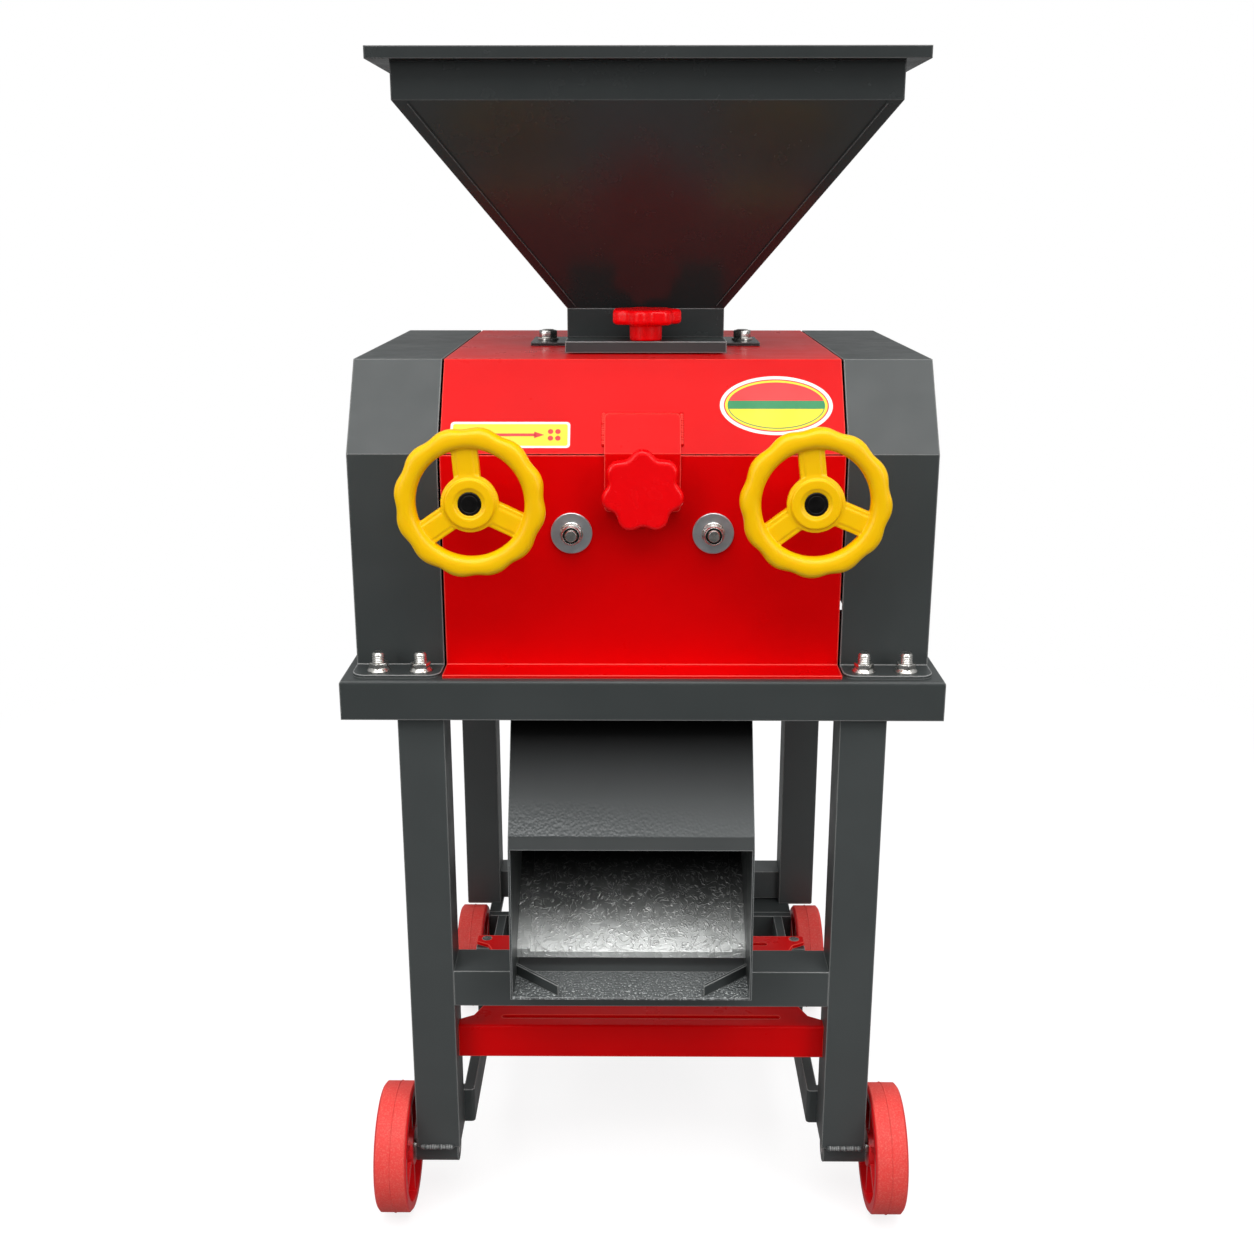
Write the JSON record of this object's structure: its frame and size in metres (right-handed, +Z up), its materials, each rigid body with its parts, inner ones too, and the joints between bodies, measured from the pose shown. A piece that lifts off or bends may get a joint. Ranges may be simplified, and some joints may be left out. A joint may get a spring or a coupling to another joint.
{
  "type": "grain roller mill",
  "caption": "Grain roller mill: square hopper with feed gate, geared rollers in a folded housing, handwheels for the gap, sloping chute, wheeled stand.",
  "frame": {"origin": "on the floor, in the middle plane of the stand, midway between the wheel axles", "axes": "+X to the right seen from the front, -Y to the front where the chute and handwheels are, +Z up"},
  "size_m": [0.514, 0.537, 1.042],
  "materials": {
    "grey_paint": "satin",
    "red_paint": "gloss",
    "red_wheel": "satin",
    "red_plastic": "gloss",
    "yellow_plastic": "gloss",
    "black_steel": "satin",
    "zinc_steel": "polished",
    "galvanised": "satin",
    "roller_steel": "satin",
    "cast_iron": "satin"
  },
  "bodies": {
    "stand": {"table_frame": "grey_paint", "leg_front_left": "grey_paint", "leg_front_right": "grey_paint", "leg_rear_left": "grey_paint", "leg_rear_right": "grey_paint", "front_stretcher": "grey_paint", "rear_stretcher": "grey_paint", "low_side_bar_left": "grey_paint", "low_side_bar_right": "grey_paint", "rear_bar": "grey_paint", "foot_plates": "grey_paint", "motor_plate": "red_paint", "motor_plate_posts": "grey_paint", "motor_plate_bolts": "zinc_steel", "axle_sleeves": "grey_paint", "axle_bolts": "zinc_steel", "chute_body": "grey_paint", "chute_floor": "grey_paint", "chute_tray": "galvanised", "chute_deflectors": "grey_paint", "discharge_funnel": "grey_paint", "mill_frame_left": "cast_iron", "mill_frame_right": "cast_iron", "frame_bolts": "zinc_steel", "rear_bearings": "cast_iron", "front_panel": "red_paint", "rear_panel": "red_paint", "side_cover_left": "grey_paint", "side_cover_right": "grey_paint", "cover_bolts": "zinc_steel", "latch_stud": "zinc_steel", "hood_hinge_fixed": "red_paint", "scraper_front": "roller_steel", "scraper_rear": "roller_steel", "scraper_bolts": "zinc_steel", "fender_washers": "zinc_steel"},
    "hood": {"hood": "red_paint", "hood_strap": "red_paint", "hood_hinge_moving": "red_paint", "feed_neck": "grey_paint", "hopper_shell": "grey_paint", "hopper_rim": "grey_paint", "hopper_bolts": "zinc_steel"},
    "feed_gate": {"feed_gate": "grey_paint"},
    "gate_knob": {"gate_knob": "red_plastic"},
    "latch_knob": {"latch_knob": "red_plastic"},
    "rear_roller": {"roller_rear": "roller_steel", "gear_rear": "roller_steel", "drive_pulley": "cast_iron"},
    "front_carriage": {"front_bearing_blocks": "cast_iron"},
    "front_roller": {"roller_front": "roller_steel", "gear_front": "roller_steel"},
    "handwheel_left": {"handwheel_left": "yellow_plastic", "adjusting_screw_left": "black_steel"},
    "handwheel_right": {"handwheel_right": "yellow_plastic", "adjusting_screw_right": "black_steel"},
    "wheel_front_left": {"wheel_front_left": "red_wheel"},
    "wheel_front_right": {"wheel_front_right": "red_wheel"},
    "wheel_rear_left": {"wheel_rear_left": "red_wheel"},
    "wheel_rear_right": {"wheel_rear_right": "red_wheel"}
  },
  "joints": [
    {"name": "wheel_front_left_spin", "type": "hinge", "parent": "stand", "child": "wheel_front_left", "pos_m": [-0.2305, -0.184, 0.06], "axis": [1, 0, 0], "continuous": true},
    {"name": "wheel_front_right_spin", "type": "hinge", "parent": "stand", "child": "wheel_front_right", "pos_m": [0.2305, -0.184, 0.06], "axis": [1, 0, 0], "continuous": true},
    {"name": "wheel_rear_left_spin", "type": "hinge", "parent": "stand", "child": "wheel_rear_left", "pos_m": [-0.199, 0.184, 0.06], "axis": [1, 0, 0], "continuous": true},
    {"name": "wheel_rear_right_spin", "type": "hinge", "parent": "stand", "child": "wheel_rear_right", "pos_m": [0.199, 0.184, 0.06], "axis": [1, 0, 0], "continuous": true},
    {"name": "rear_roller_spin", "type": "hinge", "parent": "stand", "child": "rear_roller", "pos_m": [0, 0.1035, 0.695], "axis": [1, 0, 0], "continuous": true},
    {"name": "gap_slide", "type": "slide", "parent": "stand", "child": "front_carriage", "axis": [0, -1, 0], "range_m": [0, 0.005]},
    {"name": "front_roller_spin", "type": "hinge", "parent": "front_carriage", "child": "front_roller", "pos_m": [0, -0.0175, 0.695], "axis": [1, 0, 0], "continuous": true},
    {"name": "handwheel_left_turn", "type": "hinge", "parent": "front_carriage", "child": "handwheel_left", "pos_m": [-0.138, -0.237, 0.695], "axis": [0, -1, 0], "range_deg": [0, 900]},
    {"name": "handwheel_right_turn", "type": "hinge", "parent": "front_carriage", "child": "handwheel_right", "pos_m": [0.138, -0.237, 0.695], "axis": [0, -1, 0], "range_deg": [0, 900]},
    {"name": "hood_hinge", "type": "hinge", "parent": "stand", "child": "hood", "pos_m": [0, 0.2603, 0.724], "axis": [-1, 0, 0], "range_deg": [0, 70]},
    {"name": "latch_knob_turn", "type": "hinge", "parent": "stand", "child": "latch_knob", "pos_m": [0, -0.195, 0.697], "axis": [0, -1, 0], "range_deg": [0, 360]},
    {"name": "gate_slide", "type": "slide", "parent": "hood", "child": "feed_gate", "axis": [0, -1, 0], "range_m": [0, 0.055]},
    {"name": "gate_knob_turn", "type": "hinge", "parent": "feed_gate", "child": "gate_knob", "pos_m": [0.003, -0.061, 0.82], "axis": [0, 0, 1], "range_deg": [0, 360]}
  ],
  "couplings": [
    {"joint": "handwheel_left_turn", "follows": "gap_slide", "rad_per_m": 3141.6},
    {"joint": "handwheel_right_turn", "follows": "gap_slide", "rad_per_m": 3141.6},
    {"joint": "front_roller_spin", "follows": "rear_roller_spin", "ratio": -1}
  ]
}
